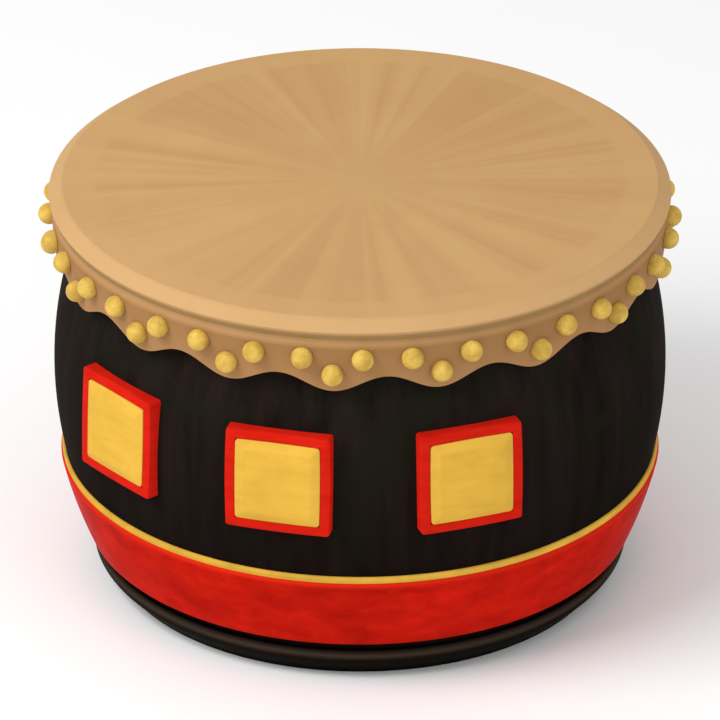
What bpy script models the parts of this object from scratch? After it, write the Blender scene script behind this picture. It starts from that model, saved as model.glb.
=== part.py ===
"""Barrel drum with one hide head: bent staves, tacked hide, hoops, foot ring and gilt panels.

Real size in metres, +Z up. The origin is on the floor, at the middle of the foot ring.
Angles round the drum are in degrees: 0 faces -Y, the front, and they grow towards +X.
"""
import math

import bmesh
import bpy
import numpy as np
from mathutils import Matrix, Vector

MM = 0.001
MERGE = 0.01 * MM               # points of a turned profile closer than this are one

# Fits
FIT = 0.3 * MM                  # clearance between two pieces that touch
SHANK_FIT = 0.4 * MM            # clearance round a nail's square shank in the hide

# Barrel
BELLY_RADIUS = 247.4 * MM       # widest radius of the wooden wall
BELLY_HEIGHT = 180.0 * MM
STAVE_BEND = 318.0 * MM         # radius of a stave's bend at the belly
STAVE_WALL = 16.0 * MM
STAVE_COUNT = 18
STAVE_CENTRE = -5.0             # angle of the middle of the first stave
STAVE_FACETS = 3                # flat strips across one stave
BEND_STEPS = 9                  # straight lengths up the bent outer face
INNER_STEPS = 3                 # and down the inner face
STRAIGHT_HEIGHT = 246.0 * MM    # above this the inside of the wall stands upright
COVE_STEPS = 2

# Head: the hide goes over a rim, dips into a neck, flares and hangs as a scalloped skirt
DRUM_HEIGHT = 340.0 * MM
HIDE = 2.5 * MM
RIM_PROUD = 2.6 * MM            # rim radius less belly radius
RIM_BEVEL_WIDTH = 10.8 * MM
RIM_BEVEL_HEIGHT = 8.0 * MM
NECK_INSET = 4.1 * MM
NECK_HEIGHT = 8.3 * MM
FLARE_WIDTH = 2.1 * MM
FLARE_HEIGHT = 7.1 * MM
SKIRT_HEIGHT = 38.6 * MM        # from the flare to the tips of the scallops
SKIRT_TAPER = 3.0 * MM
SCALLOP_DEPTH = 13.6 * MM
SCALLOP_CUTS = 3                # straight lengths of hem along one strip
SHOULDER_TUCK = 1.2 * MM        # the shoulder starts this far below the scallops' crests
COVE_HEIGHT = 8.0 * MM
BEARING_WIDTH = 7.0 * MM        # flat top of the staves that the hide bears on
BEARING_FALL = 11.0 * MM

# Dome nails: one low and two high in each scallop
NAIL_RADIUS = 8.7 * MM
NAIL_BACK = 2.6 * MM            # the dome's centre stands this far before its flat back
NAIL_SHANK = 4.2 * MM           # side of the square shank
NAIL_BITE = 4.0 * MM            # shank length inside the stave
LOW_NAIL_RISE = 2.4 * MM        # above the scallops' crests
HIGH_NAIL_RISE = 14.5 * MM      # above the low nail
HIGH_NAIL_ANGLE = 5.5
NAIL_SIDES = 8
DOME_STEPS = 4

# Hoops round the lower barrel
BAND_TOP = 103.1 * MM
BAND_HEIGHT = 66.9 * MM
BAND_PROUD_TOP = 5.2 * MM
BAND_PROUD_BOTTOM = 6.3 * MM
BAND_BEVEL = 2.0 * MM
HOOP_HEIGHT = 5.3 * MM
HOOP_PROUD = 3.2 * MM
HOOP_LIP = 0.7 * MM             # thickness of the hoop's thin upper edge
HOOP_STEPS = 2

# Foot ring: an upright moulding, fullest above its middle, with a ledge below the staves
FOOT_HEIGHT = 27.3 * MM
FOOT_LEDGE = 3.0 * MM
FOOT_EDGE = 3.9 * MM
FOOT_SWELL = 6.0 * MM
FOOT_SKEW = 1.6                 # over 1 moves the fullest line up
FOOT_STEPS = 5

# Gilt panels: a tablet let into a moulded frame, hollowed at the back to fit the barrel
PANEL_ANGLES = (-50.5, -15.0, 20.5)
PANEL_HEIGHT = 195.4 * MM       # centre of the panels above the floor
PANEL_PROUD = 4.6 * MM          # frame's face less belly radius
FRAME_SIDE = 84.5 * MM
FRAME_CORNER = 5.0 * MM
FRAME_BEVEL = 1.2 * MM
POCKET_DEPTH = 2.5 * MM
TABLET_SIDE = 68.6 * MM
TABLET_CORNER = 5.0 * MM
TABLET_LIP = 1.5 * MM           # upright edge that shows before the frame's face
TABLET_CROWN = 1.6 * MM
TABLET_SLOPE = 6.5 * MM
CORNER_STEPS = 3

RING_STEPS = STAVE_COUNT * STAVE_FACETS


def make_material(name, colour, roughness, metallic=0.0):
    material = bpy.data.materials.new(name)
    material.use_nodes = True
    shader = material.node_tree.nodes["Principled BSDF"]
    shader.inputs["Base Color"].default_value = (*colour, 1.0)
    shader.inputs["Roughness"].default_value = roughness
    shader.inputs["Metallic"].default_value = metallic
    material.diffuse_color = (*colour, 1.0)
    return material


def add_object(name, mesh, collection, material=None):
    piece = bpy.data.objects.new(name, mesh)
    collection.objects.link(piece)
    if material:
        mesh.materials.append(material)
    return piece


def shade(mesh, angle=40.0):
    mesh.shade_smooth()
    mesh.set_sharp_from_angle(angle=math.radians(angle))


def place_round(angle):
    """Turn about +Z that takes the local +X side to the given angle round the drum."""
    return Matrix.Rotation(math.radians(angle - 90.0), 4, "Z")


def stave_angle(number):
    return STAVE_CENTRE + number * 360.0 / STAVE_COUNT


# Stave wall, shared by all that is fitted to it

def wall_stations():
    """Heights at which the outer face of the staves has its level edges."""
    return np.linspace(stave_foot(), shoulder_foot(), BEND_STEPS + 1)


def bend_radius(height):
    """A stave bends as a parabola about the belly."""
    return BELLY_RADIUS - (height - BELLY_HEIGHT) ** 2 / (2.0 * STAVE_BEND)


def wall_radius(height):
    """Radius of the outer face as built, in straight lengths between the stations."""
    stations = wall_stations()
    return float(np.interp(height, stations, bend_radius(stations)))


def wall_line(low, high, proud=0.0):
    """Points (radius, height) up the outer face from low to high, set off by proud."""
    inner = [z for z in wall_stations() if low < z < high]
    return [(wall_radius(z) + proud, z) for z in [low, *inner, high]]


def stave_foot():
    return FOOT_LEDGE + FIT


def shoulder_foot():
    return hem_crest() - SHOULDER_TUCK - COVE_HEIGHT


# Hide line, shared by the head, the nails and the staves' shoulders

def flare_height():
    return DRUM_HEIGHT - RIM_BEVEL_HEIGHT - NECK_HEIGHT - FLARE_HEIGHT


def hem_tip():
    return flare_height() - SKIRT_HEIGHT


def hem_crest():
    return hem_tip() + SCALLOP_DEPTH


def hide_line():
    """Outer face of the hide from its centre to the mean hem, as (radius, height)."""
    rim = BELLY_RADIUS + RIM_PROUD
    neck = rim - NECK_INSET
    flare = neck + FLARE_WIDTH
    rim_height = DRUM_HEIGHT - RIM_BEVEL_HEIGHT
    return [
        (0.0, DRUM_HEIGHT),
        (rim - RIM_BEVEL_WIDTH, DRUM_HEIGHT),
        (rim, rim_height),
        (neck, rim_height - NECK_HEIGHT),
        (flare, flare_height()),
        (flare - SKIRT_TAPER, hem_tip() + SCALLOP_DEPTH / 2),
    ]


def skirt_slope():
    """Angle by which the skirt leans in towards its hem, in radians."""
    (flare, top), (hem, bottom) = hide_line()[-2:]
    return math.atan2(flare - hem, top - bottom)


def skirt_radius(height):
    (flare, top), (hem, bottom) = hide_line()[-2:]
    return flare + (hem - flare) * (top - height) / (top - bottom)


def set_in(line, distance):
    """The line moved to its right-hand side by a distance, with mitred corners."""
    points = np.array(line)
    along = np.diff(points, axis=0)
    along /= np.linalg.norm(along, axis=1)[:, None]
    right = np.stack([along[:, 1], -along[:, 0]], axis=1)
    before = np.vstack([right[:1], right])
    after = np.vstack([right, right[-1:]])
    mitre = (before + after) / (1.0 + (before * after).sum(axis=1))[:, None]
    return [tuple(point) for point in points + distance * mitre]


# Shapes

def outline_mesh(name, points, closed=True):
    """Profile in the XZ plane, for a Screw modifier."""
    count = len(points)
    edges = [(i, (i + 1) % count) for i in range(count if closed else count - 1)]
    mesh = bpy.data.meshes.new(name)
    mesh.from_pydata([(r, 0.0, z) for r, z in points], edges, [])
    return mesh


def turn(piece, steps, angle=360.0):
    """Turn a profile about +Z."""
    screw = piece.modifiers.new("Turn", "SCREW")
    screw.axis = "Z"
    screw.angle = math.radians(angle)
    screw.steps = steps
    screw.render_steps = steps
    screw.use_merge_vertices = angle == 360.0
    screw.merge_threshold = MERGE
    screw.use_smooth_shade = True
    return piece


def ring(name, points, collection, material=None, closed=True):
    """Turned piece whose strips line up with those of the staves, from joint to joint."""
    piece = add_object(name, outline_mesh(name, points, closed), collection, material)
    piece.matrix_world = place_round(stave_angle(0.5))
    return turn(piece, RING_STEPS)


def evaluated_mesh(piece):
    """The piece's mesh with its modifiers applied, as a new mesh."""
    bpy.context.view_layer.update()
    graph = bpy.context.evaluated_depsgraph_get()
    return bpy.data.meshes.new_from_object(piece.evaluated_get(graph))


def square_outline(side, corner):
    """Points (y, z) round a square with round corners, anticlockwise seen from +X."""
    reach = side / 2 - corner
    points = []
    for quarter in range(4):
        start = quarter * 90.0
        centre_y = reach * (1 if quarter in (0, 3) else -1)
        centre_z = reach * (1 if quarter in (0, 1) else -1)
        for step in range(CORNER_STEPS + 1):
            turn_by = math.radians(start + 90.0 * step / CORNER_STEPS)
            points.append((centre_y + corner * math.cos(turn_by),
                           centre_z + corner * math.sin(turn_by)))
    return points


def square_slab(side, corner, back, front, layers=()):
    """Slab between two planes across X. Each layer sets the front face in and raises it."""
    shape = bmesh.new()
    ring = [shape.verts.new((back, y, z)) for y, z in square_outline(side, corner)]
    base = shape.faces.new(ring)
    top = bmesh.ops.extrude_face_region(shape, geom=[base])["geom"]
    raised = [item for item in top if isinstance(item, bmesh.types.BMVert)]
    bmesh.ops.translate(shape, vec=(front - back, 0.0, 0.0), verts=raised)
    face = next(item for item in top if isinstance(item, bmesh.types.BMFace))
    bmesh.ops.recalc_face_normals(shape, faces=shape.faces[:])
    for width, rise in layers:
        top = bmesh.ops.extrude_face_region(shape, geom=[face])["geom"]
        shape.faces.remove(face)
        face = next(item for item in top if isinstance(item, bmesh.types.BMFace))
        for vertex in face.verts:
            _, y, z = vertex.co
            vertex.co += Vector((rise, -math.copysign(width, y), -math.copysign(width, z)))
    mesh = bpy.data.meshes.new("slab")
    shape.to_mesh(mesh)
    shape.free()
    return mesh


def combine(piece, tool, operation="DIFFERENCE"):
    boolean = piece.modifiers.new(tool.name, "BOOLEAN")
    boolean.operation = operation
    boolean.solver = "EXACT"
    boolean.object = tool
    return boolean


def as_cutter(piece):
    piece.hide_render = True
    piece.display_type = "WIRE"
    return piece


# Staves

def stave_profile():
    """Section of a stave, outer face upwards and inner face down, as (radius, height)."""
    hide_back = set_in(hide_line(), HIDE + FIT)
    (flare, flare_z), (hem, hem_z) = hide_back[-2:]
    shoulder_low = hem_crest() - SHOULDER_TUCK
    shoulder = flare + (hem - flare) * (flare_z - shoulder_low) / (flare_z - hem_z)

    outer = wall_line(stave_foot(), shoulder_foot())
    wall, wall_top = outer[-1]
    cove = []
    for step in range(1, COVE_STEPS + 1):
        swing = math.pi / 2 * step / COVE_STEPS
        cove.append((wall + (shoulder - wall) * (1 - math.cos(swing)),
                     wall_top + (shoulder_low - wall_top) * math.sin(swing)))
    over_shoulder = hide_back[4:0:-1]
    bearing, bearing_height = over_shoulder[-1]
    straight = bend_radius(STRAIGHT_HEIGHT) - STAVE_WALL
    inner = [(bearing - BEARING_WIDTH, bearing_height), (straight, bearing_height - BEARING_FALL)]
    for z in np.linspace(STRAIGHT_HEIGHT, stave_foot(), INNER_STEPS + 1):
        inner.append((bend_radius(z) - STAVE_WALL, z))
    return outer + cove + over_shoulder + inner


def nail_dome(name, collection, material):
    """Round head of a nail along +Z, on a flat back at 0."""
    low = -math.asin(NAIL_BACK / NAIL_RADIUS)
    points = []
    for step in range(DOME_STEPS + 1):
        swing = math.pi / 2 + (low - math.pi / 2) * step / DOME_STEPS
        points.append((NAIL_RADIUS * math.cos(swing), NAIL_BACK + NAIL_RADIUS * math.sin(swing)))
    points[0] = (0.0, NAIL_BACK + NAIL_RADIUS)
    points[-1] = (points[-1][0], 0.0)
    points.append((0.0, 0.0))
    dome = add_object(name, outline_mesh(name, points, closed=False), collection, material)
    return turn(dome, NAIL_SIDES)


def square_shank(shape, matrix, side, tip, top):
    """Add a square bar along the nail's axis, from its tip to its top."""
    middle = Matrix.Translation((0.0, 0.0, (top + tip) / 2))
    size = Matrix.Diagonal((side, side, top - tip, 1.0))
    bmesh.ops.create_cube(shape, size=1.0, matrix=matrix @ middle @ size)


def nail_shank(name, collection, material):
    shape = bmesh.new()
    square_shank(shape, Matrix(), NAIL_SHANK, -(FIT + HIDE + FIT + NAIL_BITE), NAIL_BACK)
    mesh = bpy.data.meshes.new(name)
    shape.to_mesh(mesh)
    shape.free()
    return add_object(name, mesh, collection, material)


def nail_places():
    """Angle from the middle of the stave, and height, of its three nails."""
    low = hem_crest() + LOW_NAIL_RISE
    high = low + HIGH_NAIL_RISE
    return [(0.0, low), (-HIGH_NAIL_ANGLE, high), (HIGH_NAIL_ANGLE, high)]


def nail_frame(angle, height):
    """From the nail's own axes to the drum's, for a stave whose middle is on +X."""
    lean = math.pi / 2 + skirt_slope()
    back = Matrix.Translation((skirt_radius(height) + FIT, 0.0, height))
    return Matrix.Rotation(math.radians(angle), 4, "Z") @ back @ Matrix.Rotation(lean, 4, "Y")


def make_stave(workshop, lacquer, brass):
    """One stave with the nails driven into it, its middle on +X."""
    split = math.degrees(math.asin(FIT / 2 / (bend_radius(stave_foot()) - STAVE_WALL)))
    width = 360.0 / STAVE_COUNT - 2 * split
    blank = add_object("stave_blank", outline_mesh("stave_blank", stave_profile()[::-1]), workshop)
    mesh = evaluated_mesh(turn(blank, STAVE_FACETS, width))
    shape = bmesh.new()
    shape.from_mesh(mesh)
    ends = [edge for edge in shape.edges if edge.is_boundary]
    bmesh.ops.holes_fill(shape, edges=ends, sides=0)
    half_back = Matrix.Rotation(math.radians(-width / 2), 3, "Z")
    bmesh.ops.rotate(shape, verts=shape.verts[:], matrix=half_back)
    bmesh.ops.recalc_face_normals(shape, faces=shape.faces[:])
    shape.to_mesh(mesh)
    shape.free()
    stave = add_object("stave_plain", mesh, workshop, lacquer)
    for number, (angle, height) in enumerate(nail_places(), 1):
        for make in (nail_shank, nail_dome):
            nail = as_cutter(make(f"{make.__name__}_{number}", workshop, brass))
            nail.matrix_world = nail_frame(angle, height)
            boolean = combine(stave, nail, "UNION")
            boolean.material_mode = "TRANSFER"
    finished = evaluated_mesh(stave)
    shade(finished)
    as_cutter(stave)
    as_cutter(blank)
    return finished


def make_staves(drum, workshop, lacquer, brass):
    mesh = make_stave(workshop, lacquer, brass)
    for number in range(STAVE_COUNT):
        stave = add_object(f"stave_{number + 1:02d}", mesh, drum)
        stave.matrix_world = place_round(stave_angle(number))


# Head

def hem_height(angle):
    """The scallops are a cosine wave, lowest at the middle of each stave."""
    swing = math.radians(angle - STAVE_CENTRE) * STAVE_COUNT
    return hem_tip() + SCALLOP_DEPTH * (1 - math.cos(swing)) / 2


def scallop_hem(mesh, mean):
    """Cut the level hem, at the mean height, to the scallops."""
    shape = bmesh.new()
    shape.from_mesh(mesh)
    hem = [edge for edge in shape.edges
           if all(abs(end.co.z - mean) < FIT for end in edge.verts)
           and abs(edge.verts[0].co.xy.length - edge.verts[1].co.xy.length) < FIT]
    bmesh.ops.subdivide_edges(shape, edges=hem, cuts=SCALLOP_CUTS - 1)
    middle_of_hide = skirt_radius(mean) - HIDE / 2
    for vertex in shape.verts:
        if abs(vertex.co.z - mean) < FIT:
            x, y = vertex.co.xy
            angle = math.atan2(x, -y)
            height = hem_height(math.degrees(angle))
            inside = math.hypot(x, y) < middle_of_hide
            radius = skirt_radius(height) - (HIDE / math.cos(skirt_slope()) if inside else 0.0)
            vertex.co = (radius * math.sin(angle), -radius * math.cos(angle), height)
    shape.to_mesh(mesh)
    shape.free()


def make_head(drum, workshop, hide_material):
    outer = hide_line()
    mean = outer[-1][1]
    inner = set_in(outer, HIDE)
    inner[-1] = (inner[-1][0], mean)
    profile = [*outer, *inner[::-1]]
    blank = as_cutter(ring("hide_blank", profile, workshop, closed=False))
    mesh = evaluated_mesh(blank)
    mesh.transform(blank.matrix_world)
    scallop_hem(mesh, mean)
    shade(mesh)
    head = add_object("drum_skin", mesh, drum, hide_material)

    punch = bmesh.new()
    for number in range(STAVE_COUNT):
        middle = place_round(stave_angle(number))
        for angle, height in nail_places():
            square_shank(punch, middle @ nail_frame(angle, height), NAIL_SHANK + 2 * SHANK_FIT,
                         -2 * HIDE, HIDE)
    holes = bpy.data.meshes.new("nail_holes")
    punch.to_mesh(holes)
    punch.free()
    combine(head, as_cutter(add_object("nail_holes", holes, workshop)))


# Hoops and foot

def band_radius(height):
    """The band's face stands off the wall evenly more from its top to its bottom."""
    share = (BAND_TOP - height) / BAND_HEIGHT
    proud = BAND_PROUD_TOP + (BAND_PROUD_BOTTOM - BAND_PROUD_TOP) * share
    return wall_radius(height) + proud


def make_band(drum, material):
    low = BAND_TOP - BAND_HEIGHT
    face_top, face_low = BAND_TOP - BAND_BEVEL, low + BAND_BEVEL
    face = [(band_radius(z), z) for _, z in wall_line(face_low, face_top)]
    lower_edge = (band_radius(low) - BAND_BEVEL / 2, low)
    upper_edge = (band_radius(BAND_TOP) - BAND_BEVEL, BAND_TOP)
    back = wall_line(low, BAND_TOP, FIT)
    return ring("red_band", [upper_edge, *face[::-1], lower_edge, *back], drum, material)


def make_hoop(drum, material):
    """Quarter-round hoop that rests on the band, thin at its top edge."""
    low = BAND_TOP + FIT
    face = []
    for step in range(HOOP_STEPS + 1):
        swing = math.pi / 2 * step / HOOP_STEPS
        z = low + HOOP_HEIGHT * math.sin(swing)
        proud = HOOP_LIP + (HOOP_PROUD - HOOP_LIP) * math.cos(swing)
        face.append((wall_radius(z) + FIT + proud, z))
    back = wall_line(low, low + HOOP_HEIGHT, FIT)
    return ring("gold_hoop", [*face[::-1], *back], drum, material)


def make_foot(drum, material):
    """The moulding's swell follows a sine of its skewed height."""
    face = []
    for step in range(FOOT_STEPS + 1):
        share = step / FOOT_STEPS
        z = FOOT_HEIGHT * share
        swell = FOOT_SWELL * math.sin(math.pi * share ** FOOT_SKEW)
        face.append((bend_radius(z) + FOOT_EDGE + swell, z))
    back = wall_line(FOOT_LEDGE, FOOT_HEIGHT, FIT)
    ledge = bend_radius(stave_foot()) - STAVE_WALL
    profile = [*face[::-1], (ledge, 0.0), (ledge, FOOT_LEDGE), *back]
    return ring("foot_ring", profile, drum, material)


# Panels

def make_panels(drum, workshop, frame_material, tablet_material):
    face = BELLY_RADIUS + PANEL_PROUD
    barrel = wall_line(PANEL_HEIGHT - FRAME_SIDE, PANEL_HEIGHT + FRAME_SIDE, FIT)[::-1]
    seat = as_cutter(ring("barrel_seat", [(0.0, barrel[0][1]), *barrel, (0.0, barrel[-1][1])],
                          workshop, closed=False))
    pocket_mesh = square_slab(TABLET_SIDE + 2 * FIT, TABLET_CORNER + FIT,
                              face - POCKET_DEPTH, face + POCKET_DEPTH)
    frame_mesh = square_slab(FRAME_SIDE, FRAME_CORNER, face - FRAME_SIDE / 2, face - FRAME_BEVEL,
                             layers=[(FRAME_BEVEL, FRAME_BEVEL)])
    steep, gentle = TABLET_SLOPE / 3, 2 * TABLET_SLOPE / 3
    tablet_mesh = square_slab(TABLET_SIDE, TABLET_CORNER, face - POCKET_DEPTH + FIT,
                              face + TABLET_LIP,
                              layers=[(steep, TABLET_CROWN / 2), (gentle, TABLET_CROWN / 2)])
    frame_mesh.materials.append(frame_material)
    tablet_mesh.materials.append(tablet_material)
    for number, angle in enumerate(PANEL_ANGLES, 1):
        place = Matrix.Translation((0.0, 0.0, PANEL_HEIGHT)) @ place_round(angle)
        pocket = as_cutter(add_object(f"pocket_{number}", pocket_mesh, workshop))
        frame = add_object(f"panel_frame_{number}", frame_mesh, drum)
        tablet = add_object(f"gold_tablet_{number}", tablet_mesh, drum)
        for piece in (pocket, frame, tablet):
            piece.matrix_world = place
        combine(frame, seat)
        combine(frame, pocket)


for old in list(bpy.data.objects):
    bpy.data.objects.remove(old, do_unlink=True)

drum_parts = bpy.data.collections.new("barrel_drum")
cutters = bpy.data.collections.new("cutters")
bpy.context.scene.collection.children.link(drum_parts)
bpy.context.scene.collection.children.link(cutters)

black_lacquer = make_material("black_lacquer", (0.012, 0.010, 0.009), 0.45)
foot_lacquer = make_material("foot_lacquer", (0.010, 0.008, 0.007), 0.5)
rawhide = make_material("rawhide", (0.58, 0.36, 0.16), 0.6)
gilt_brass = make_material("gilt_brass", (0.80, 0.55, 0.13), 0.4, 0.3)
gold_paint = make_material("gold_paint", (0.78, 0.48, 0.08), 0.45)
red_lacquer = make_material("red_lacquer", (0.56, 0.015, 0.006), 0.4)
frame_red = make_material("frame_red", (0.70, 0.02, 0.01), 0.4)
tablet_gold = make_material("tablet_gold", (0.84, 0.52, 0.07), 0.45)

make_staves(drum_parts, cutters, black_lacquer, gilt_brass)
make_head(drum_parts, cutters, rawhide)
make_hoop(drum_parts, gold_paint)
make_band(drum_parts, red_lacquer)
make_foot(drum_parts, foot_lacquer)
make_panels(drum_parts, cutters, frame_red, tablet_gold)
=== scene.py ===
"""Looks of the barrel drum: lacquered barrel, tacked hide, hoops, foot ring and gilt panels.

Metres, +Z up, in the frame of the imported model: the origin is on the floor, in the middle of
the foot ring, and -Y is the front. Angles round the drum are 0 at the front and grow to +X.
"""
import math

import bpy
import numpy as np
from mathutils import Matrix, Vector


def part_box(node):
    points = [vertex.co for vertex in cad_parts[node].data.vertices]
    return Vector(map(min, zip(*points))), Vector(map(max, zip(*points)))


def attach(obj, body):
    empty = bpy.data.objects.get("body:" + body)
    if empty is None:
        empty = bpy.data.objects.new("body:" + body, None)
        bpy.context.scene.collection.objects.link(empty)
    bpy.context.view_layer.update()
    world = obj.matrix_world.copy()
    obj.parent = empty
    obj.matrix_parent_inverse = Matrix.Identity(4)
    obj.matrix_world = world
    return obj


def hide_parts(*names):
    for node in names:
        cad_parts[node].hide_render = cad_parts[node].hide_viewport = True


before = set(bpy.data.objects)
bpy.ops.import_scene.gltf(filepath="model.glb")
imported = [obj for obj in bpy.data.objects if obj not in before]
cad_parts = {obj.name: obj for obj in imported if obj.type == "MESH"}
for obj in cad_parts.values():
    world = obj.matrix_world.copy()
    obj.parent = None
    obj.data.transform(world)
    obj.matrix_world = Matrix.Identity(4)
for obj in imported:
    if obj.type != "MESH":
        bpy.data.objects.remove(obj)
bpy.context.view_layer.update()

# Barrel
# Bent wooden staves under black lacquer, planed and filled so that no joint shows. The outer
# face is a parabola about the belly, turned round the axis; a shoulder carries the hide.

MM = 0.001
BELLY_RADIUS, BELLY_HEIGHT, STAVE_BEND = 247.4 * MM, 180 * MM, 318 * MM
STAVE_WALL, HIDE, FIT = 16 * MM, 2.5 * MM, 0.3 * MM
UNDER_HIDE = HIDE + FIT
STAVES, STAVE_FOOT, STRAIGHT_HEIGHT, SHOULDER_HEIGHT = 18, 3.3 * MM, 246 * MM, 282.4 * MM
TOP = float(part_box("drum_skin")[1][2])
RIM, NECK, FLARE, HEM = 250 * MM, 245.9 * MM, 248 * MM, 245 * MM
RIM_Z, NECK_Z, FLARE_Z = TOP - 8 * MM, TOP - 16.3 * MM, TOP - 23.4 * MM
TUCK_Z, BEARING, BEARING_WIDTH = TOP - 49.6 * MM, RIM - 12 * MM, 7 * MM


def colour(red, green, blue):
    """Linear colour, with alpha, of an sRGB colour counted from 0 to 255: each share plus
    0.055, over 1.055, to the power 2.4, or a 12.92th of it where it is very dark."""
    share = np.array([red, green, blue]) / 255
    linear = np.where(share > 0.04045, ((share + 0.055) / 1.055) ** 2.4, share / 12.92)
    return (*map(float, linear), 1.0)


def bend_radius(height):
    """Radius of the barrel: the belly's, less the square of the height from it over two bends."""
    return BELLY_RADIUS - (height - BELLY_HEIGHT) ** 2 / (2 * STAVE_BEND)


def rounded(corners, steps=5, hold=0.25):
    """A line (radius, height) through corners (radius, height, cut), each cut off by an arc
    that starts and ends at the cut's length from the corner: a quadratic curve through both.
    One more point, held a share of the cut before and after it, keeps the flats flat."""
    corners = np.array(corners, float)
    places, cuts = corners[:, :2], corners[:, 2]
    line = [places[:1]]
    t = np.linspace(0, 1, steps)[:, None]
    for before, corner, after, cut in zip(places[:-2], places[1:-1], places[2:], cuts[1:-1]):
        back = (before - corner) / np.linalg.norm(before - corner)
        on = (after - corner) / np.linalg.norm(after - corner)
        start, end = corner + cut * back, corner + cut * on
        arc = (1 - t) ** 2 * start + 2 * t * (1 - t) * corner + t ** 2 * end
        line.append(np.vstack([start + hold * cut * back, arc, end + hold * cut * on]))
    line.append(places[-1:])
    return np.vstack(line)


def wrap(rows, columns, closed):
    """Point numbers of the squares and triangles over a grid whose columns close round: one
    square from each point to the next column and row. The rows close too, or a fan of
    triangles joins the first and last row to two poles, numbered after the grid."""
    number = np.arange(rows * columns).reshape(rows, columns)
    lower = number if closed else number[:-1]
    upper = np.roll(number, -1, axis=0)[:len(lower)]
    squares = np.stack([lower, np.roll(lower, -1, 1), np.roll(upper, -1, 1), upper], -1)
    if closed:
        return squares.reshape(-1, 4), np.empty((0, 3), int)
    pole = np.full(columns, number.size)
    start = np.stack([pole, np.roll(number[0], -1), number[0]], -1)
    end = np.stack([pole + 1, number[-1], np.roll(number[-1], -1)], -1)
    return squares.reshape(-1, 4), np.vstack([start, end])


def add_piece(name, points, squares, triangles, crease=38):
    """A new piece at the origin, smooth except where its faces turn by more than the crease."""
    mesh = bpy.data.meshes.new(name)
    mesh.from_pydata(points.tolist(), [], squares.tolist() + triangles.tolist())
    mesh.shade_smooth()
    mesh.set_sharp_from_angle(angle=math.radians(crease))
    piece = bpy.data.objects.new(name, mesh)
    bpy.context.scene.collection.objects.link(piece)
    return piece


def skin(name, grid, poles=None):
    """Piece over a grid of points (rows, columns, 3), its rows closed or ended by two poles."""
    rows, columns = grid.shape[:2]
    points = grid.reshape(-1, 3)
    if poles is not None:
        points = np.vstack([points, poles])
    return add_piece(name, points, *wrap(rows, columns, closed=poles is None))


def turned(name, line, columns=288):
    """A closed section (radius, height), anticlockwise with the radius to the right, turned:
    its radius times the sine of each angle to the right, and the cosine to the front."""
    angle = np.arange(columns) / columns * 2 * np.pi
    radius, height = line[:, :1], line[:, 1:]
    grid = np.stack([radius * np.sin(angle), -radius * np.cos(angle), height + 0 * angle], -1)
    return skin(name, grid)


def begin_material(name, roughness, gloss=0.015, bend=1.3):
    """New material, with its node tree, its shader and its object coordinates. The gloss and
    the bend of light are low, because the photographed drum has next to no shine."""
    material = bpy.data.materials.new(name)
    material.use_nodes = True
    tree = material.node_tree
    shader = tree.nodes["Principled BSDF"]
    shader.inputs["Roughness"].default_value = roughness
    shader.inputs["Specular IOR Level"].default_value = gloss
    shader.inputs["IOR"].default_value = bend
    return material, tree, shader, tree.nodes.new("ShaderNodeTexCoord").outputs["Object"]


def noise(tree, place, scale=1.0, stretch=(1, 1, 1), detail=6.0, rough=0.6, swirl=0.0):
    """Noise of the place, first multiplied by three stretches and then by the scale."""
    mapping = tree.nodes.new("ShaderNodeMapping")
    mapping.inputs["Scale"].default_value = stretch
    texture = tree.nodes.new("ShaderNodeTexNoise")
    texture.inputs["Scale"].default_value = scale
    texture.inputs["Detail"].default_value = detail
    texture.inputs["Roughness"].default_value = rough
    texture.inputs["Distortion"].default_value = swirl
    tree.links.new(place, mapping.inputs["Vector"])
    tree.links.new(mapping.outputs["Vector"], texture.inputs["Vector"])
    return texture.outputs["Fac"]


def ramp(tree, value, *stops):
    """Colour ramp over a value; each stop is (position, colour)."""
    node = tree.nodes.new("ShaderNodeValToRGB")
    while len(node.color_ramp.elements) < len(stops):
        node.color_ramp.elements.new(1.0)
    for element, (position, shade) in zip(node.color_ramp.elements, stops):
        element.position = position
        element.color = shade
    tree.links.new(value, node.inputs["Fac"])
    return node.outputs["Color"]


def by_height(tree, place, *stops):
    """Colour ramp over the height in metres."""
    axes = tree.nodes.new("ShaderNodeSeparateXYZ")
    tree.links.new(place, axes.inputs["Vector"])
    return ramp(tree, axes.outputs["Z"], *stops)


def blend(tree, share, below, above, mode="MIX"):
    """Two colours mixed by a share, or multiplied where the mode says so. Each of the three is
    a socket or a value."""
    node = tree.nodes.new("ShaderNodeMix")
    node.data_type = "RGBA"
    node.blend_type = mode
    for name, value in (("Factor", share), ("A", below), ("B", above)):
        if isinstance(value, bpy.types.NodeSocket):
            tree.links.new(value, node.inputs[name])
        else:
            node.inputs[name].default_value = value
    return node.outputs["Result"]


def roughen(tree, shader, value, low, high):
    """Roughness that follows a value: low where it is 0 and high where it is 1."""
    node = tree.nodes.new("ShaderNodeMapRange")
    node.inputs["To Min"].default_value = low
    node.inputs["To Max"].default_value = high
    tree.links.new(value, node.inputs["Value"])
    tree.links.new(node.outputs["Result"], shader.inputs["Roughness"])


def emboss(tree, shader, value, distance, strength):
    """Fine relief: the value times the distance, at a share of its full strength."""
    node = tree.nodes.new("ShaderNodeBump")
    node.inputs["Strength"].default_value = strength
    node.inputs["Distance"].default_value = distance
    tree.links.new(value, node.inputs["Height"])
    tree.links.new(node.outputs["Normal"], shader.inputs["Normal"])


NONE, FULL = (0.0, 0.0, 0.0, 1.0), (1.0, 1.0, 1.0, 1.0)


def spread(tree, value, low, high):
    """The value spread so that low gives none and high gives full."""
    return ramp(tree, value, (low, NONE), (high, FULL))


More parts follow.
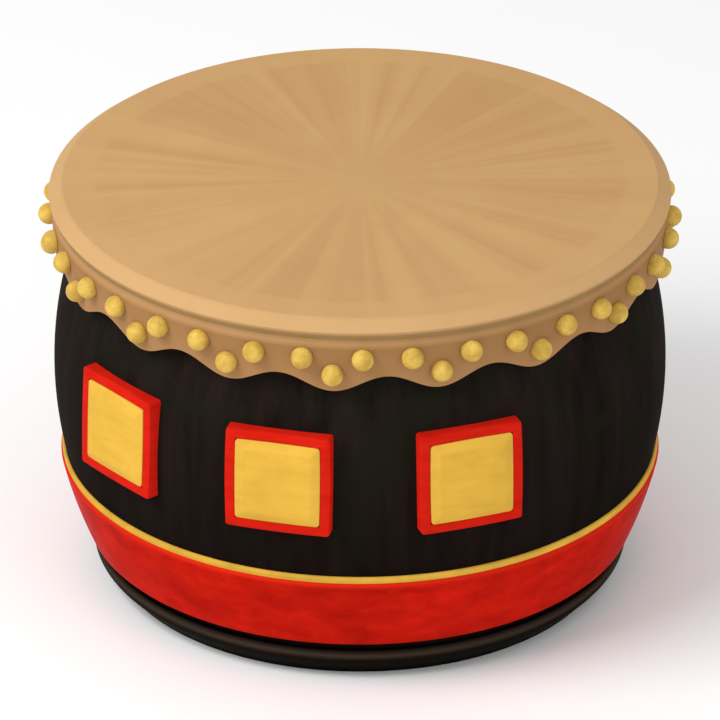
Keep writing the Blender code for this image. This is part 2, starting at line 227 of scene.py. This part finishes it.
def lacquer_material():
    """Black lacquer: upright brush streaks, warm and green mottling, darker towards the foot."""
    black, brown, green, dark = [colour(*rgb) for rgb in (
        (21, 15, 13), (38, 30, 27), (26, 28, 19), (15, 9, 7))]
    material, tree, shader, place = begin_material("black_lacquer_scene", 0.5, gloss=0.01)
    streaks = noise(tree, place, stretch=(60, 60, 3))
    mottle = noise(tree, place, scale=14, swirl=0.8)
    brushed = ramp(tree, streaks, (0.3, black), (0.7, brown))
    tinted = blend(tree, spread(tree, mottle, 0.48, 0.68), brushed, green)
    high = by_height(tree, place, (100 * MM, NONE), (260 * MM, FULL))
    shaded = blend(tree, blend(tree, 0.35, high, FULL), dark, tinted)
    tree.links.new(shaded, shader.inputs["Base Color"])
    roughen(tree, shader, mottle, 0.5, 0.75)
    emboss(tree, shader, streaks, 0.4 * MM, 0.25)
    return material


def finish_piece(piece, material, slot, *nodes):
    """Give a piece its material, hide the nodes that it stands for and attach it to the root. The
    slot is not used.
    """
    piece.data.materials.append(material)
    if nodes:
        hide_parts(*nodes)
    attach(piece, "root")


height = np.linspace(STAVE_FOOT, SHOULDER_HEIGHT, 48)
outer = np.stack([bend_radius(height), height], 1)
shoulder = rounded([(*outer[-1], 0),
                    (HEM - UNDER_HIDE, TUCK_Z, 3 * MM),
                    (FLARE - UNDER_HIDE, FLARE_Z, 0.5 * MM),
                    (NECK - UNDER_HIDE, NECK_Z, 0.5 * MM),
                    (RIM - HIDE - 0.8 * MM, RIM_Z - 0.5 * MM, 1 * MM),
                    (BEARING, TOP - UNDER_HIDE, 1 * MM),
                    (BEARING - BEARING_WIDTH, TOP - UNDER_HIDE, 2 * MM),
                    (BEARING - 13.5 * MM, TOP - 14 * MM, 0)])
height = np.linspace(STRAIGHT_HEIGHT, STAVE_FOOT, 24)
inner = np.stack([bend_radius(height) - STAVE_WALL, height], 1)
barrel = turned("barrel", np.vstack([outer[:-1], shoulder, inner]))
staves = [f"stave_{number:02d}" for number in range(1, STAVES + 1)]
finish_piece(barrel, lacquer_material(), "black_lacquer", *staves)

# Head
# A cow hide stretched wet over the rim and pulled into the neck, then scraped and left tan. It
# is a line turned round the axis, whose skirt is drawn down to a cosine wave of scallops.

RIM_BEVEL, HEM_Z = 10.8 * MM, TOP - 55.2 * MM
SCALLOPS, SCALLOP_DEPTH, FIRST_TIP = STAVES, 13.6 * MM, math.radians(-5)


def hide_material():
    """Scraped hide: wedges of two tans that fade towards the centre, a paler outer ring and rim,
    painted shadow in the hollow under the rim, a paler flare, painted shade on the skirt that
    deepens from the hem up to the flare, faint clouds and fine pores."""
    dark_wedge, pale_wedge, middle, ring, rim, cloud = [colour(*rgb) for rgb in (
        (182, 142, 94), (191, 152, 102), (186, 147, 98), (190, 151, 102), (194, 155, 107),
        (248, 245, 240))]
    hem, skirt, flare, flare_top, neck_shadow, under_rim_shadow = [colour(*rgb) for rgb in (
        (166, 124, 81), (153, 114, 71), (174, 133, 88), (174, 133, 89), (151, 120, 77),
        (156, 124, 81))]
    ring_edge, bevel_edge = 214 * MM, RIM - RIM_BEVEL
    material, tree, shader, place = begin_material("rawhide_scene", 0.62, gloss=0.15)
    flat = tree.nodes.new("ShaderNodeVectorMath")
    flat.operation = "MULTIPLY"
    flat.inputs[1].default_value = (1, 1, 0)
    tree.links.new(place, flat.inputs[0])
    way = tree.nodes.new("ShaderNodeVectorMath")
    way.operation = "NORMALIZE"
    tree.links.new(flat.outputs["Vector"], way.inputs[0])
    length = tree.nodes.new("ShaderNodeVectorMath")
    length.operation = "LENGTH"
    tree.links.new(flat.outputs["Vector"], length.inputs[0])
    radius = length.outputs["Value"]
    wedges = noise(tree, way.outputs["Vector"], scale=4.5, detail=4, swirl=0.5)
    clouds = noise(tree, place, scale=16, swirl=0.4)
    pores = noise(tree, place, scale=500, detail=3)
    disc = ramp(tree, wedges, (0.4, dark_wedge), (0.6, pale_wedge))
    disc = blend(tree, ramp(tree, radius, (0, FULL), (130 * MM, NONE)), disc, middle)
    past_ring = spread(tree, radius, ring_edge - 1 * MM, ring_edge + 1 * MM)
    disc = blend(tree, blend(tree, 0.7, NONE, past_ring), disc, ring)
    past_bevel = spread(tree, radius, bevel_edge - 0.4 * MM, bevel_edge + 0.4 * MM)
    disc = blend(tree, past_bevel, disc, rim)
    # Painted shade: the dark band under the rim is painted shadow, and the skirt colour, darker
    # than the hem's, is painted shade just under the flare.
    side = by_height(tree, place, (280 * MM, hem),
                     (FLARE_Z + 0.2 * MM, skirt), (FLARE_Z + 0.6 * MM, flare),
                     (NECK_Z - 0.4 * MM, flare_top), (NECK_Z, neck_shadow),
                     (RIM_Z - 0.6 * MM, under_rim_shadow), (RIM_Z - 0.2 * MM, rim))
    upper = by_height(tree, place, (RIM_Z - 1 * MM, NONE), (RIM_Z, FULL))
    body = blend(tree, upper, side, disc)
    stained = blend(tree, spread(tree, clouds, 0.25, 0.75), cloud, FULL)
    tree.links.new(blend(tree, 1.0, body, stained, "MULTIPLY"), shader.inputs["Base Color"])
    roughen(tree, shader, clouds, 0.5, 0.75)
    emboss(tree, shader, pores, 0.3 * MM, 0.3)
    return material


def make_hide(columns=540):
    """Rows run from the centre over the rim and down the skirt to the hem, then up the back.
    Each point of the skirt drops by its share of a cosine wave round the drum, and moves along
    the skirt's slope as it does; the share is 0 at the flare and 1 at the hem. The flare's
    own line is held to a tenth of the way down, and the skirt's rows start past that."""
    centre, plain, edge_cut = 20 * MM, 232 * MM, 0.6 * MM
    held, start = 0.1, 0.15
    top = np.stack([np.linspace(centre, plain, 12), np.full(12, TOP)], 1)
    over = rounded([(plain, TOP, 0), (RIM - RIM_BEVEL, TOP, edge_cut), (RIM, RIM_Z, edge_cut),
                    (NECK, NECK_Z, 0.3 * MM), (FLARE, FLARE_Z, 0.3 * MM),
                    (FLARE + (HEM - FLARE) * held, FLARE_Z + (HEM_Z - FLARE_Z) * held, 0)])
    share = np.linspace(start, 1, 16)[:, None]
    skirt = np.array([[FLARE, FLARE_Z]]) * (1 - share) + np.array([[HEM, HEM_Z]]) * share
    lip = HEM_Z - 0.6 * MM
    edge = rounded([(HEM, HEM_Z, 0), (HEM - 0.1 * MM, lip, 0.5 * MM),
                    (HEM - HIDE, lip, 0.5 * MM), (HEM - HIDE, HEM_Z, 0)])[1:]
    back = np.array([(FLARE - HIDE, FLARE_Z), (NECK - HIDE, NECK_Z), (RIM - HIDE, RIM_Z),
                     (BEARING, TOP - HIDE), (120 * MM, TOP - HIDE), (centre, TOP - HIDE)])
    line = np.vstack([top, over[1:], skirt, edge, back])
    drop = np.concatenate([np.zeros(len(top) + len(over) - 1), share[:, 0],
                           np.ones(len(edge)), np.zeros(len(back))])[:, None]
    angle = np.arange(columns) / columns * 2 * np.pi
    wave = -SCALLOP_DEPTH / 2 * np.cos(SCALLOPS * (angle - FIRST_TIP))
    height = line[:, 1:] + drop * wave
    radius = line[:, :1] + drop * wave * (FLARE - HEM) / (FLARE_Z - HEM_Z)
    grid = np.stack([radius * np.sin(angle), -radius * np.cos(angle), height], -1)
    return skin("hide_head", grid[::-1], [(0, 0, TOP - HIDE), (0, 0, TOP)])


finish_piece(make_hide(), hide_material(), "rawhide", "drum_skin")

# Nails
# Pressed brass dome nails, one low and two high in each scallop. Each is a ball with its back
# cut flat against the skirt, and all are one mesh of separate domes.


def brass_material():
    """Gilt brass: dull and bright patches of gilding over a lumpy, hand-pressed dome."""
    material, tree, shader, place = begin_material("gilt_brass_scene", 0.5, gloss=0.2)
    patches = noise(tree, place, scale=90, detail=5)
    lumps = noise(tree, place, scale=260, detail=3, rough=0.5)
    gilding = ramp(tree, patches, (0.35, colour(184, 148, 64)), (0.65, colour(218, 182, 88)))
    tree.links.new(gilding, shader.inputs["Base Color"])
    roughen(tree, shader, patches, 0.42, 0.62)
    emboss(tree, shader, lumps, 0.8 * MM, 0.5)
    return material


def make_nails(sides=28, rows=12):
    """One dome for each nail, in axes of its own: along the skirt, up the skirt and out of it.
    A row's radius is the ball's times the cosine of its turn, and it stands out by the ball's
    centre plus the ball's radius times the sine."""
    ball, centre, low_rise, high_rise = 8.7 * MM, 2.6 * MM, 2.4 * MM, 14.5 * MM
    tip = FIRST_TIP + np.arange(SCALLOPS) * 2 * np.pi / SCALLOPS
    swing = math.radians(5.5)
    angle = np.concatenate([tip, tip - swing, tip + swing])
    low = HEM_Z + SCALLOP_DEPTH / 2 + low_rise
    height = np.concatenate([np.full(SCALLOPS, low), np.full(2 * SCALLOPS, low + high_rise)])
    slope = math.atan((FLARE - HEM) / (FLARE_Z - HEM_Z))
    radius = FLARE - (FLARE_Z - height) * math.tan(slope) + FIT / 2
    out = np.stack([np.sin(angle), -np.cos(angle), 0 * angle], -1)
    side = np.stack([np.cos(angle), np.sin(angle), 0 * angle], -1)
    up = np.array([0, 0, 1.0])
    foot = out * radius[:, None] + up * height[:, None]
    rising = up * math.cos(slope) + out * math.sin(slope)
    facing = out * math.cos(slope) - up * math.sin(slope)
    turn = np.linspace(-math.asin(centre / ball), math.pi / 2, rows)[:-1, None]
    way = np.arange(sides) / sides * 2 * np.pi
    dome = np.stack([ball * np.cos(turn) * np.cos(way), ball * np.cos(turn) * np.sin(way),
                     centre + ball * np.sin(turn) + 0 * way], -1).reshape(-1, 3)
    dome = np.vstack([dome, (0, 0, 0), (0, 0, centre + ball)])
    axes = np.stack([side, rising, facing], 1)
    points = foot[:, None, :] + np.einsum("pk,nkc->npc", dome, axes)
    first = (np.arange(len(angle)) * len(dome))[:, None, None]
    squares, triangles = wrap(rows - 1, sides, closed=False)
    return add_piece("dome_nails", points.reshape(-1, 3), (squares + first).reshape(-1, 4),
                     (triangles + first).reshape(-1, 3), crease=50)


finish_piece(make_nails(), brass_material(), "gold_paint")

# Hoops and foot
# Turned and bent wood: a gold-painted quarter round on a broad red band whose top edge has a
# painted highlight, and a black moulded foot with a painted highlight on its upper face. Each
# is a closed section turned round the axis.


def paint_material(name, low, high, stretch, scale, rough, thin=232, edge=None):
    """Brushed paint: strokes of two colours along the stretch, multiplied by patches of thinner
    paint whose grey is given. Above the height of an edge it is a brighter red, a painted
    highlight where the top edge catches the light."""
    material, tree, shader, place = begin_material(name, rough)
    strokes = noise(tree, place, stretch=stretch, swirl=0.3)
    patches = noise(tree, place, scale=scale, swirl=0.5)
    tone = ramp(tree, patches, (0.35, colour(thin, thin, thin)), (0.65, FULL))
    painted = ramp(tree, strokes, (0.3, low), (0.7, high))
    painted = blend(tree, 1.0, painted, tone, "MULTIPLY")
    if edge is not None:
        # Painted highlight: a brighter red above the edge's height, where the band's top edge
        # catches the light.
        above = by_height(tree, place, (edge - 0.3 * MM, NONE), (edge, FULL))
        painted = blend(tree, above, painted, colour(204, 36, 18))
    tree.links.new(painted, shader.inputs["Base Color"])
    roughen(tree, shader, patches, rough - 0.1, rough + 0.12)
    emboss(tree, shader, strokes, 0.3 * MM, 0.3)
    return material


BAND_LOW, BAND_TOP, BAND_BEVEL = 36.2 * MM, 103.1 * MM, 2 * MM
PROUD_TOP, PROUD_SPREAD, LOW_BEVEL_IN, LOW_BEVEL_UP = 5.2 * MM, 1.1 * MM, 1 * MM, 1.5 * MM
ROUND_STROKES, DABS = (4, 4, 160), (30, 30, 56)

height = np.linspace(BAND_LOW + LOW_BEVEL_UP, BAND_TOP - BAND_BEVEL, 20)
share = (BAND_TOP - height) / (BAND_TOP - BAND_LOW)
face = np.stack([bend_radius(height) + PROUD_TOP + PROUD_SPREAD * share, height], 1)
low_corner = (bend_radius(BAND_LOW) + PROUD_TOP + PROUD_SPREAD - LOW_BEVEL_IN, BAND_LOW)
top_corner = (bend_radius(BAND_TOP) + PROUD_TOP - BAND_BEVEL, BAND_TOP)
height = np.linspace(BAND_TOP, BAND_LOW, 12)
back = np.stack([bend_radius(height) + FIT, height], 1)
band = turned("band", np.vstack([low_corner, face, top_corner, back]))
band_paint = paint_material("red_lacquer_scene", colour(172, 18, 8), colour(210, 32, 16), DABS,
                            scale=24, rough=0.42, edge=BAND_TOP - 1.8 * MM)
finish_piece(band, band_paint, "red_lacquer", "red_band")

HOOP_HEIGHT, HOOP_PROUD, HOOP_LIP = 5.3 * MM, 3.2 * MM, 0.7 * MM

swing = np.linspace(0, np.pi / 2, 9)
height = BAND_TOP + FIT + HOOP_HEIGHT * np.sin(swing)
proud = HOOP_LIP + (HOOP_PROUD - HOOP_LIP) * np.cos(swing)
face = np.stack([bend_radius(height) + FIT + proud, height], 1)
back = np.stack([bend_radius(height) + FIT, height], 1)[::-1]
hoop = turned("hoop", np.vstack([face, back]))
hoop_paint = paint_material("gold_paint_scene", colour(200, 154, 52), colour(218, 172, 70),
                            ROUND_STROKES, scale=40, rough=0.38)
finish_piece(hoop, hoop_paint, "gold_paint", "gold_hoop")

FOOT_HEIGHT, FOOT_EDGE, FOOT_SWELL, FOOT_SKEW = 27.3 * MM, 3.9 * MM, 6 * MM, 1.6
LEDGE_HEIGHT = STAVE_FOOT - FIT


def foot_material():
    """Dark lacquer, with a painted highlight as a paler strip on the moulding's upper face, and
    streaks round the ring.
    """
    low, lower, strip_highlight, paler, top, streak = [colour(*rgb) for rgb in (
        (14, 10, 7), (20, 16, 10), (48, 39, 30), (72, 60, 50), (17, 10, 9), (205, 205, 205))]
    material, tree, shader, place = begin_material("foot_lacquer_scene", 0.5)
    strokes = noise(tree, place, stretch=ROUND_STROKES, swirl=0.3)
    # The paler strip from about 20 to 26 mm up is a painted highlight on the moulding's upper
    # face.
    body = by_height(tree, place, (0, low), (19.4 * MM, lower), (20.2 * MM, strip_highlight),
                     (25.8 * MM, paler), (26.6 * MM, top))
    streaked = blend(tree, spread(tree, strokes, 0.3, 0.7), streak, FULL)
    tree.links.new(blend(tree, 1.0, body, streaked, "MULTIPLY"), shader.inputs["Base Color"])
    roughen(tree, shader, strokes, 0.4, 0.6)
    emboss(tree, shader, strokes, 0.3 * MM, 0.3)
    return material


share = np.linspace(0, 1, 20)
height = FOOT_HEIGHT * share
swell = FOOT_SWELL * np.sin(np.pi * share ** FOOT_SKEW)
face = np.stack([bend_radius(height) + FOOT_EDGE + swell, height], 1)
height = np.linspace(FOOT_HEIGHT, LEDGE_HEIGHT, 8)
back = np.stack([bend_radius(height) + FIT, height], 1)
bore = bend_radius(STAVE_FOOT) - STAVE_WALL
foot = turned("foot", np.vstack([face, back, (bore, LEDGE_HEIGHT), (bore, 0)]))
finish_piece(foot, foot_material(), "foot_lacquer", "foot_ring")

# Panels
# Carved wooden squares: a red frame hollowed at the back to fit the barrel, and a gilt tablet
# in it. Each is a rounded square outline carried through a list of insets and depths.

PANEL_PROUD, LEAN, PANEL_STROKES = 4.6 * MM, math.radians(2), (30, 30, 160)
FRAME_SIDE, FRAME_CORNER, FRAME_CROWN = 85 * MM, 2.4 * MM, 0.9 * MM
TABLET_SIDE, TABLET_CORNER, TABLET_CROWN = 69 * MM, 3 * MM, 0.4 * MM
BORDER = 7.9  # in millimetres, as the rows below are


def square_rim(inset, side, corner, crown, arc_steps=8, side_steps=16):
    """Points (across, up) round a square with round corners, set in: a quarter arc and a side
    that a parabola pushes out at its middle, turned four times by a right angle."""
    half, least_radius = side / 2 - inset, 0.5 * MM
    radius = max(corner - inset, least_radius)
    swing = np.linspace(0, np.pi / 2, arc_steps)
    along = np.linspace(-1, 1, side_steps + 2)[1:-1]
    across = np.append(half - radius + radius * np.cos(swing), -along * (half - radius))
    up = np.append(half - radius + radius * np.sin(swing), half + crown * (1 - along ** 2))
    return (np.concatenate([across, -up, -across, up]),
            np.concatenate([up, across, -up, -across]))


def make_panel(name, angle, middle, rows, side, corner, crown):
    """Rows are (inset, depth) in millimetres, from the back to the middle of the face. The
    depth counts outwards from the frame's face, which leans back by a share of the height
    above the middle; a depth of None follows the barrel. The sides' crown eases to half of
    it at the border's width. The panel is then turned to its angle round the drum."""
    layers = []
    for inset, depth in rows:
        eased = float(np.interp(inset, (0, BORDER), (crown, crown / 2)))
        across, up = square_rim(inset * MM, side, corner, eased)
        if depth is None:
            wall = bend_radius(middle + up) + FIT
            out = np.sqrt(wall ** 2 - across ** 2)
        else:
            out = BELLY_RADIUS + PANEL_PROUD + depth * MM - math.tan(LEAN) * up
        layers.append(np.stack([across * math.cos(angle) + out * math.sin(angle),
                                across * math.sin(angle) - out * math.cos(angle),
                                middle + up], -1))
    return skin(name, np.stack(layers), [layers[0].mean(axis=0), layers[-1].mean(axis=0)])


frame_rows = [(40, None), (20, None), (0, None), (0, -1.4), (0.3, -0.5), (1.1, 0),
              (BORDER - 0.4, 0), (BORDER - 0.1, -0.3), (BORDER, -2.4), (30, -2.4)]
tablet_rows = [(30, -2.2), (0.2, -2.2), (0, 0.2), (0.2, 0.5), (0.7, 0.8), (6.6, 2.9),
               (7.2, 3.05), (8.2, 3.1), (20, 3.1)]
frame_paint = paint_material("frame_red_scene", colour(195, 26, 14), colour(207, 34, 20),
                             PANEL_STROKES, scale=40, rough=0.4, thin=244)
tablet_paint = paint_material("tablet_gold_scene", colour(211, 166, 62), colour(220, 174, 70),
                              PANEL_STROKES, scale=26, rough=0.36, thin=242)
for number, degrees in enumerate((-50.5, -15.0, 20.5), 1):
    low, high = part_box(f"panel_frame_{number}")
    angle, middle = math.radians(degrees), (low[2] + high[2]) / 2
    panel = make_panel(f"frame_{number}", angle, middle, frame_rows,
                       FRAME_SIDE, FRAME_CORNER, FRAME_CROWN)
    finish_piece(panel, frame_paint, "frame_red", f"panel_frame_{number}")
    tablet = make_panel(f"tablet_{number}", angle, middle, tablet_rows,
                        TABLET_SIDE, TABLET_CORNER, TABLET_CROWN)
    finish_piece(tablet, tablet_paint, "tablet_gold", f"gold_tablet_{number}")

# Studio
# A plain pale floor and soft light from the upper left, seen through a long lens from the
# photograph's height.

FLOOR_REACH, LIT_HEIGHT, SKY = 12.0, 0.2, 0.75
ELEVATION, DISTANCE, AIM_HEIGHT = math.radians(27.92), 8.098, 176.1 * MM

floor_mesh = bpy.data.meshes.new("floor")
floor_mesh.from_pydata([(-FLOOR_REACH, -FLOOR_REACH, 0), (FLOOR_REACH, -FLOOR_REACH, 0),
                        (FLOOR_REACH, FLOOR_REACH, 0), (-FLOOR_REACH, FLOOR_REACH, 0)],
                       [], [(0, 1, 2, 3)])
floor = bpy.data.objects.new("floor", floor_mesh)
bpy.context.scene.collection.objects.link(floor)
floor_paper, _, floor_shader, _ = begin_material("floor_paper", 0.9)
floor_shader.inputs["Base Color"].default_value = colour(245, 245, 245)
floor_mesh.materials.append(floor_paper)


def soft_light(name, place, size, power):
    """Square area light that faces the middle of the drum."""
    lamp = bpy.data.lights.new(name, "AREA")
    lamp.size = size
    lamp.energy = power
    light = bpy.data.objects.new(name, lamp)
    bpy.context.scene.collection.objects.link(light)
    x, y, z = place
    light.location = place
    light.rotation_euler = (math.atan2(math.hypot(x, y), z - LIT_HEIGHT), 0, math.atan2(x, -y))


soft_light("key", (-1.8, -1.15, 2.4), size=1.6, power=62)
soft_light("fill", (1.8, -2.2, 1.4), size=2.0, power=14)
world = bpy.data.worlds.new("studio")
world.use_nodes = True
background = world.node_tree.nodes["Background"]
background.inputs["Color"].default_value = (1, 1, 1, 1)
background.inputs["Strength"].default_value = SKY
bpy.context.scene.world = world
bpy.context.scene.view_settings.view_transform = "Standard"

lens = bpy.data.cameras.new("camera")
lens.lens = 500
lens.sensor_width = 36
lens.clip_end = 60
camera = bpy.data.objects.new("camera", lens)
bpy.context.scene.collection.objects.link(camera)
camera.location = (0, -DISTANCE * math.cos(ELEVATION),
                   AIM_HEIGHT + DISTANCE * math.sin(ELEVATION))
camera.rotation_euler = (math.pi / 2 - ELEVATION, 0, 0)
bpy.context.scene.camera = camera
